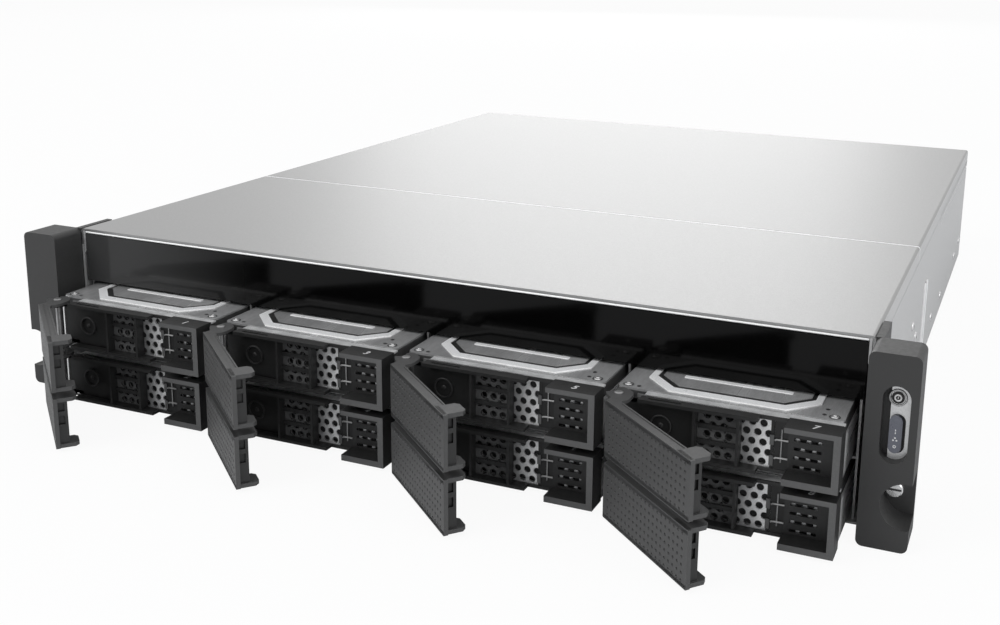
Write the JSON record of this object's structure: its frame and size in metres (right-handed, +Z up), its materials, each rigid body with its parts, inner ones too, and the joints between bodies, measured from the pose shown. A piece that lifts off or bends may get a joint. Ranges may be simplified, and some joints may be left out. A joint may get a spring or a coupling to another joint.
{
  "type": "rackmount nas server",
  "caption": "Rack-mounted storage server: steel case with black fascia and ears, hot-swap drive trays with hinged levers, fans, power modules and a power button.",
  "frame": {"origin": "mid-width, in the plane of the rack posts (the ears' back faces), on the underside of the case", "axes": "+X to the right seen from the front, +Y towards the back of the case, +Z up"},
  "size_m": [0.4826, 0.6359, 0.088],
  "materials": {
    "case_steel": "zinc-coated sheet steel, satin",
    "cover_steel": "light metallic sheet, fine satin",
    "fascia_gloss": "polished black moulding",
    "ear_plastic": "fine matte, dark grey",
    "bezel_silver": "satin bright plate",
    "button_silver": "bright ring",
    "lens_blue": "smoked lens, satin",
    "cage_zinc": "zinc-coated sheet steel",
    "tray_plastic": "fine matte, near black",
    "sled_zinc": "bright zinc-coated sheet",
    "drive_metal": "cast base and pressed lid, bright",
    "lever_plastic": "fine matte, dark grey",
    "pin_steel": "bright steel pin and wire",
    "board_green": "circuit board",
    "fan_black": "moulded fan plastic",
    "psu_zinc": "plain sheet case",
    "screw_steel": "zinc-plated screw"
  },
  "bodies": {
    "case": {"chassis_base": "case_steel", "rear_panel": "case_steel", "front_cover": "cover_steel", "rear_cover": "cover_steel", "fascia": "fascia_gloss", "ear_right": "ear_plastic", "ear_left": "ear_plastic", "control_bezel": "bezel_silver", "indicator_lens": "lens_blue", "drive_cage": "cage_zinc", "backplane": "board_green", "mainboard": "board_green", "screws": "screw_steel", "fan_frames": "fan_black"},
    "tray_1": {"bay_1_bezel": "tray_plastic", "bay_1_sled": "sled_zinc", "bay_1_drive": "drive_metal", "bay_1_hardware": "pin_steel"},
    "lever_1": {"bay_1_lever": "lever_plastic"},
    "tray_2": {"bay_2_bezel": "tray_plastic", "bay_2_sled": "sled_zinc", "bay_2_drive": "drive_metal", "bay_2_hardware": "pin_steel"},
    "lever_2": {"bay_2_lever": "lever_plastic"},
    "tray_3": {"bay_3_bezel": "tray_plastic", "bay_3_sled": "sled_zinc", "bay_3_drive": "drive_metal", "bay_3_hardware": "pin_steel"},
    "lever_3": {"bay_3_lever": "lever_plastic"},
    "tray_4": {"bay_4_bezel": "tray_plastic", "bay_4_sled": "sled_zinc", "bay_4_drive": "drive_metal", "bay_4_hardware": "pin_steel"},
    "lever_4": {"bay_4_lever": "lever_plastic"},
    "tray_5": {"bay_5_bezel": "tray_plastic", "bay_5_sled": "sled_zinc", "bay_5_drive": "drive_metal", "bay_5_hardware": "pin_steel"},
    "lever_5": {"bay_5_lever": "lever_plastic"},
    "tray_6": {"bay_6_bezel": "tray_plastic", "bay_6_sled": "sled_zinc", "bay_6_drive": "drive_metal", "bay_6_hardware": "pin_steel"},
    "lever_6": {"bay_6_lever": "lever_plastic"},
    "tray_7": {"bay_7_bezel": "tray_plastic", "bay_7_sled": "sled_zinc", "bay_7_drive": "drive_metal", "bay_7_hardware": "pin_steel"},
    "lever_7": {"bay_7_lever": "lever_plastic"},
    "tray_8": {"bay_8_bezel": "tray_plastic", "bay_8_sled": "sled_zinc", "bay_8_drive": "drive_metal", "bay_8_hardware": "pin_steel"},
    "lever_8": {"bay_8_lever": "lever_plastic"},
    "power_button": {"power_button": "button_silver"},
    "fan_rotor_1": {"fan_rotor_1": "fan_black"},
    "fan_rotor_2": {"fan_rotor_2": "fan_black"},
    "fan_rotor_3": {"fan_rotor_3": "fan_black"},
    "psu_1": {"psu_1": "psu_zinc"},
    "psu_2": {"psu_2": "psu_zinc"}
  },
  "joints": [
    {"name": "tray_1_slide", "type": "slide", "parent": "case", "child": "tray_1", "axis": [0, -1, 0], "range_m": [-0.041, 0.1]},
    {"name": "lever_1_hinge", "type": "hinge", "parent": "tray_1", "child": "lever_1", "pos_m": [-0.20825, -0.0317, 0.04385], "axis": [0, 0, 1], "range_deg": [0, 41]},
    {"name": "tray_2_slide", "type": "slide", "parent": "case", "child": "tray_2", "axis": [0, -1, 0], "range_m": [-0.041, 0.1]},
    {"name": "lever_2_hinge", "type": "hinge", "parent": "tray_2", "child": "lever_2", "pos_m": [-0.20825, -0.0317, 0.01445], "axis": [0, 0, 1], "range_deg": [0, 41]},
    {"name": "tray_3_slide", "type": "slide", "parent": "case", "child": "tray_3", "axis": [0, -1, 0], "range_m": [-0.041, 0.1]},
    {"name": "lever_3_hinge", "type": "hinge", "parent": "tray_3", "child": "lever_3", "pos_m": [-0.10075, -0.0317, 0.04385], "axis": [0, 0, 1], "range_deg": [0, 41]},
    {"name": "tray_4_slide", "type": "slide", "parent": "case", "child": "tray_4", "axis": [0, -1, 0], "range_m": [-0.041, 0.1]},
    {"name": "lever_4_hinge", "type": "hinge", "parent": "tray_4", "child": "lever_4", "pos_m": [-0.10075, -0.0317, 0.01445], "axis": [0, 0, 1], "range_deg": [0, 41]},
    {"name": "tray_5_slide", "type": "slide", "parent": "case", "child": "tray_5", "axis": [0, -1, 0], "range_m": [-0.041, 0.1]},
    {"name": "lever_5_hinge", "type": "hinge", "parent": "tray_5", "child": "lever_5", "pos_m": [0.00675, -0.0317, 0.04385], "axis": [0, 0, 1], "range_deg": [0, 41]},
    {"name": "tray_6_slide", "type": "slide", "parent": "case", "child": "tray_6", "axis": [0, -1, 0], "range_m": [-0.041, 0.1]},
    {"name": "lever_6_hinge", "type": "hinge", "parent": "tray_6", "child": "lever_6", "pos_m": [0.00675, -0.0317, 0.01445], "axis": [0, 0, 1], "range_deg": [0, 41]},
    {"name": "tray_7_slide", "type": "slide", "parent": "case", "child": "tray_7", "axis": [0, -1, 0], "range_m": [-0.041, 0.1]},
    {"name": "lever_7_hinge", "type": "hinge", "parent": "tray_7", "child": "lever_7", "pos_m": [0.11425, -0.0317, 0.04385], "axis": [0, 0, 1], "range_deg": [0, 41]},
    {"name": "tray_8_slide", "type": "slide", "parent": "case", "child": "tray_8", "axis": [0, -1, 0], "range_m": [-0.041, 0.1]},
    {"name": "lever_8_hinge", "type": "hinge", "parent": "tray_8", "child": "lever_8", "pos_m": [0.11425, -0.0317, 0.01445], "axis": [0, 0, 1], "range_deg": [0, 41]},
    {"name": "power_button_press", "type": "slide", "parent": "case", "child": "power_button", "axis": [0, 1, 0], "range_m": [0, 0.001], "stiffness_N_per_m": 500},
    {"name": "fan_1_spin", "type": "hinge", "parent": "case", "child": "fan_rotor_1", "pos_m": [-0.132, 0.1889, 0.0412], "axis": [0, 1, 0], "continuous": true},
    {"name": "fan_2_spin", "type": "hinge", "parent": "case", "child": "fan_rotor_2", "pos_m": [0, 0.1889, 0.0412], "axis": [0, 1, 0], "continuous": true},
    {"name": "fan_3_spin", "type": "hinge", "parent": "case", "child": "fan_rotor_3", "pos_m": [0.132, 0.1889, 0.0412], "axis": [0, 1, 0], "continuous": true},
    {"name": "psu_1_slide", "type": "slide", "parent": "case", "child": "psu_1", "axis": [0, 1, 0], "range_m": [0, 0.15]},
    {"name": "psu_2_slide", "type": "slide", "parent": "case", "child": "psu_2", "axis": [0, 1, 0], "range_m": [0, 0.15]}
  ]
}
